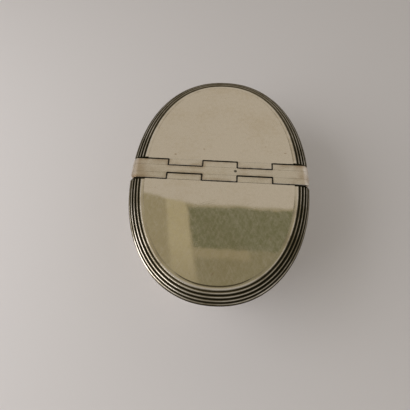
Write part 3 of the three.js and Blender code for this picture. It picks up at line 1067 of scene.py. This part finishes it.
def bored_knuckle(section, side, node, ease):
    """A knuckle as long as its node, bored from end to end, with eased ends."""
    start, end = lowest(node).x, highest(node).x
    bm = bmesh.new()
    outer = closed_loop(bm, [(start, y, z) for y, z in section])
    bore = bore_loop(bm, side, start)
    outer_end = drawn_along(bm, outer, eased_places(start, end, ease))
    bore_end = drawn_along(bm, bore, [start, end])
    bmesh.ops.bridge_loops(bm, edges=outer + bore)
    bmesh.ops.bridge_loops(bm, edges=outer_end + bore_end)
    ease_ends(bm, side, (start, end), ease)
    return bm


def end_knuckle(hinge, side, node):
    """A knuckle at the bar's end, with a closed bore, rounded over with the bar."""
    hand = math.copysign(1, highest(node).x + lowest(node).x)
    start = lowest(node).x if hand > 0 else highest(node).x
    ease = hinge.knuckle_ease
    bm = bmesh.new()
    outer = closed_loop(bm, [(start, y, z) for y, z in block_section(side)])
    bore = bore_loop(bm, side, start)
    places = [start, start + hand * FIRST_EASE * ease, start + hand * ease]
    places += [hand * x for x in end_places(hinge)]
    outer_end = drawn_along(bm, outer, places)
    bore_end = drawn_along(bm, bore, [start, hand * (PIN_END + 2 * BORE_CLEARANCE)])
    bmesh.ops.bridge_loops(bm, edges=outer + bore)
    bmesh.ops.contextual_create(bm, geom=bore_end)
    bmesh.ops.contextual_create(bm, geom=outer_end)
    ease_ends(bm, side, (start,), ease)
    for vert in bm.verts:
        vert.co.z = min(vert.co.z, bar_top(hinge, vert.co.x))
        limit = BAR_HALF_WIDTH - bar_side(hinge, vert.co.x)
        vert.co.y = side * min(side * vert.co.y, limit)
    return bm


class SPICEBOX_OT_bar_knuckles(bpy.types.Operator):
    """Makes the three knuckles on each side of the bar."""

    bl_idname = "spice_box.bar_knuckles"
    bl_label = "Bar knuckles"

    def execute(self, context):
        hinge = context.scene.spice_box_hinge
        for side_name, side in SIDES.items():
            for place in ("left", "middle", "right"):
                node = f"{side_name}_bar_knuckle_{place}"
                if place == "middle":
                    bm = bored_knuckle(block_section(side), side, node, hinge.knuckle_ease)
                else:
                    bm = end_knuckle(hinge, side, node)
                piece(bm, f"{node}_block", "box", [node], "bar_silver")
        return {"FINISHED"}


class SPICEBOX_OT_lid_knuckles(bpy.types.Operator):
    """Makes the two knuckles on each lid."""

    bl_idname = "spice_box.lid_knuckles"
    bl_label = "Lid knuckles"

    def execute(self, context):
        ease = context.scene.spice_box_hinge.knuckle_ease
        for side_name, side in SIDES.items():
            for place in ("left", "right"):
                node = f"{side_name}_lid_knuckle_{place}"
                bm = bored_knuckle(barrel_section(side), side, node, ease)
                piece(bm, f"{node}_barrel", f"{side_name}_lid", [node], "bar_silver")
        return {"FINISHED"}


class SPICEBOX_OT_pins(bpy.types.Operator):
    """Gives the hinge pins their drawn wire finish."""

    bl_idname = "spice_box.pins"
    bl_label = "Hinge pins"

    def execute(self, context):
        for side_name in SIDES:
            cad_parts[f"{side_name}_hinge_pin"].material_slots[0].material = finish("pin_wire")
        return {"FINISHED"}


class SPICEBOX_OT_lid_plates(bpy.types.Operator):
    """Makes the flat half-oval plate of each lid."""

    bl_idname = "spice_box.lid_plates"
    bl_label = "Lid plates"

    def execute(self, context):
        ease = context.scene.spice_box_hinge.plate_ease
        for side_name, side in SIDES.items():
            bm = oval_plate(0, LID_UNDERSIDE, TOP)
            keep_side(bm, side, LID_EDGE)
            straight = [
                edge for edge in flat_edges(bm, TOP)
                if all(abs(side * vert.co.y - LID_EDGE) < MERGE_DISTANCE for vert in edge.verts)
            ]
            ease_edges(bm, straight, ease)
            node = f"{side_name}_lid_plate"
            piece(bm, f"{side_name}_lid_sheet", f"{side_name}_lid", [node], "lid_silver")
        return {"FINISHED"}


class SPICEBOX_OT_lid_borders(bpy.types.Operator):
    """Makes the reeded border of each lid."""

    bl_idname = "spice_box.lid_borders"
    bl_label = "Reeded borders"

    def execute(self, context):
        border = context.scene.spice_box_border
        for side_name, side in SIDES.items():
            section, tarnish = border_section(border)
            bm = oval_ring(section)
            mark_tarnish_and_shade(bm, section, tarnish)
            keep_side(bm, side, LID_EDGE)
            round_end_corners(bm, side, border.corner_radius)
            node = f"{side_name}_lid_border"
            piece(bm, f"{side_name}_reeded_wire", f"{side_name}_lid", [node], "reed_silver")
        return {"FINISHED"}


class SPICEBOX_OT_lid_bezels(bpy.types.Operator):
    """Makes the thin strip under each lid that fits inside the wall."""

    bl_idname = "spice_box.lid_bezels"
    bl_label = "Bezels"

    def execute(self, context):
        ease = context.scene.spice_box_hinge.plate_ease
        inside = BEZEL_OUTSIDE - BEZEL_THICKNESS
        for side_name, side in SIDES.items():
            section = [
                (inside, BEZEL_TOP), (inside, BEZEL_BOTTOM + ease), (inside + ease, BEZEL_BOTTOM),
                (BEZEL_OUTSIDE - ease, BEZEL_BOTTOM), (BEZEL_OUTSIDE, BEZEL_BOTTOM + ease),
                (BEZEL_OUTSIDE, BEZEL_TOP),
            ]
            bm = oval_ring(section)
            keep_side(bm, side, BEZEL_EDGE)
            node = f"{side_name}_lid_bezel"
            piece(bm, f"{side_name}_bezel_strip", f"{side_name}_lid", [node], "worn_silver")
        return {"FINISHED"}


class SPICEBOX_OT_stage(bpy.types.Operator):
    """Makes the floor, the room, the lamp and the camera."""

    bl_idname = "spice_box.stage"
    bl_label = "Stage"

    def execute(self, context):
        settings = context.scene.spice_box_stage
        self.floor(settings)
        self.room(settings)
        self.lamp(settings)
        self.camera()
        context.scene.view_settings.view_transform = "Standard"
        return {"FINISHED"}

    def floor(self, settings):
        """A wide sheet of pale paper."""
        bm = bmesh.new()
        bmesh.ops.create_grid(bm, x_segments=1, y_segments=1, size=FLOOR_HALF_SIZE)
        mesh = bpy.data.meshes.new("floor_paper")
        bm.to_mesh(mesh)
        bm.free()
        material = bpy.data.materials.new("floor_paper")
        tree = NodeTree(material)
        fibre = tree.noise(tree.place(), scale=2500.0)
        tint = tree.blend(fibre * FIBRE_SHARE, settings.floor, FIBRE_COLOUR)
        sockets = {"Base Color": tint, "Roughness": 0.8, "Normal": tree.bump(fibre, distance=0.00001)}
        tree.surface(tree.make("ShaderNodeBsdfPrincipled", None, sockets))
        mesh.materials.append(material)
        floor = bpy.data.objects.new("floor", mesh)
        bpy.context.scene.collection.objects.link(floor)

    def room(self, settings):
        """A plain pale room, with a darker patch of ceiling and a dark card that the lids mirror."""
        world = bpy.data.worlds.new("room")
        tree = NodeTree(world)
        direction = tree.make("ShaderNodeTexCoord", output="Generated")
        sideways, ahead, up = (tree.axis(direction, name) for name in "XYZ")
        rise = up.at_least(LOWEST_RISE)
        slant = ahead / rise
        shift = sideways / rise
        side = shift + slant * SIDE_LEAN
        beyond = tree.ramp(ahead, *BEYOND)
        raised = tree.ramp(up, *RAISED)
        far_edge = slant - (CEILING_TURN - shift).at_least(0.0) * CEILING_TURN_SLOPE
        across = tree.ramp(shift, *CEILING_LEFT) * tree.ramp(shift, *CEILING_RIGHT)
        overhead = tree.ramp(far_edge, *CEILING_FAR) * tree.ramp(slant, *CEILING_NEAR) * across
        card = (
            tree.ramp(slant, *CARD_FAR) * tree.ramp(slant, *CARD_NEAR)
            * tree.ramp(side, *CARD_LEFT) * tree.ramp(shift, *CARD_RIGHT)
        )
        band = tree.ramp(side, *BAND_LEFT) * tree.ramp(side, *BAND_RIGHT) * tree.ramp(slant, *BAND_NEAR)
        corner = tree.ramp(slant, *SHADE_CORNER_FAR) * tree.ramp(shift, *SHADE_CORNER_LEFT)
        shade = (tree.ramp(slant, *SHADE_FAR) * tree.ramp(side, *SHADE_LEFT)).at_least(corner)
        walls = tree.blend(beyond, settings.near_wall, settings.wall)
        room = tree.blend(raised, settings.horizon, walls)
        room = tree.blend(tree.ramp(shift.size(), *SIDE_SHIFT) * raised, room, settings.sides)
        ceiling = tree.blend(band, settings.ceiling, settings.ceiling_band)
        ceiling = tree.blend(shade, ceiling, settings.ceiling_shade)
        room = tree.blend(overhead, room, ceiling)
        room = tree.blend(card, room, settings.card)
        shader = tree.make("ShaderNodeBackground", None, {"Color": room, "Strength": 1.0})
        tree.make("ShaderNodeOutputWorld", None, {"Surface": shader})
        bpy.context.scene.world = world

    def lamp(self, settings):
        """A broad soft lamp on the left, aimed at the middle of the box."""
        lamp = bpy.data.lights.new("lamp", "AREA")
        lamp.shape = "RECTANGLE"
        lamp.size, lamp.size_y = LAMP_SIZE
        lamp.energy = settings.lamp_power
        lamp.color = LAMP_COLOUR
        aim = Vector((0, 0, TOP / 2))
        place = aim + LAMP_DIRECTION * LAMP_DISTANCE
        made = bpy.data.objects.new("lamp", lamp)
        made.location = place
        made.rotation_mode = "QUATERNION"
        made.rotation_quaternion = (aim - place).to_track_quat("-Z", "Y")
        bpy.context.scene.collection.objects.link(made)

    def camera(self):
        """The camera, above the box and in front of it."""
        data = bpy.data.cameras.new("camera")
        data.lens = CAMERA_LENS
        data.sensor_width = CAMERA_SENSOR
        data.clip_start = CAMERA_NEAREST
        made = bpy.data.objects.new("camera", data)
        made.location = CAMERA_EYE
        made.rotation_mode = "QUATERNION"
        level = (CAMERA_AIM - CAMERA_EYE).to_track_quat("-Z", "Y")
        made.rotation_quaternion = level @ Matrix.Rotation(CAMERA_ROLL, 4, "Z").to_quaternion()
        bpy.context.scene.collection.objects.link(made)
        bpy.context.scene.camera = made


OPERATORS = (
    SPICEBOX_OT_body,
    SPICEBOX_OT_bar,
    SPICEBOX_OT_bar_knuckles,
    SPICEBOX_OT_lid_knuckles,
    SPICEBOX_OT_pins,
    SPICEBOX_OT_lid_plates,
    SPICEBOX_OT_lid_borders,
    SPICEBOX_OT_lid_bezels,
    SPICEBOX_OT_stage,
)

SETTINGS = {
    "spice_box_oval": OvalSizes,
    "spice_box_border": BorderSizes,
    "spice_box_hinge": HingeSizes,
    "spice_box_colours": FinishColours,
    "spice_box_stage": StageSettings,
}


class SPICEBOX_PT_panel(bpy.types.Panel):
    """Lists the pieces and their settings in the sidebar."""

    bl_label = "Spice box"
    bl_space_type = "VIEW_3D"
    bl_region_type = "UI"
    bl_category = "Spice box"

    def draw(self, context):
        for operator in OPERATORS:
            self.layout.operator(operator.bl_idname)
        for name, group in SETTINGS.items():
            settings = getattr(context.scene, name)
            for field in group.__annotations__:
                self.layout.prop(settings, field)


def register():
    for group in (*SETTINGS.values(), *OPERATORS, SPICEBOX_PT_panel):
        bpy.utils.register_class(group)
    for name, group in SETTINGS.items():
        setattr(bpy.types.Scene, name, PointerProperty(type=group))


def unregister():
    for name in SETTINGS:
        delattr(bpy.types.Scene, name)
    for group in (*SETTINGS.values(), *OPERATORS, SPICEBOX_PT_panel):
        bpy.utils.unregister_class(group)


def main():
    register()
    bpy.ops.spice_box.body()
    bpy.ops.spice_box.bar()
    bpy.ops.spice_box.bar_knuckles()
    bpy.ops.spice_box.lid_knuckles()
    bpy.ops.spice_box.pins()
    bpy.ops.spice_box.lid_plates()
    bpy.ops.spice_box.lid_borders()
    bpy.ops.spice_box.lid_bezels()
    bpy.ops.spice_box.stage()


if __name__ == "__main__":
    main()
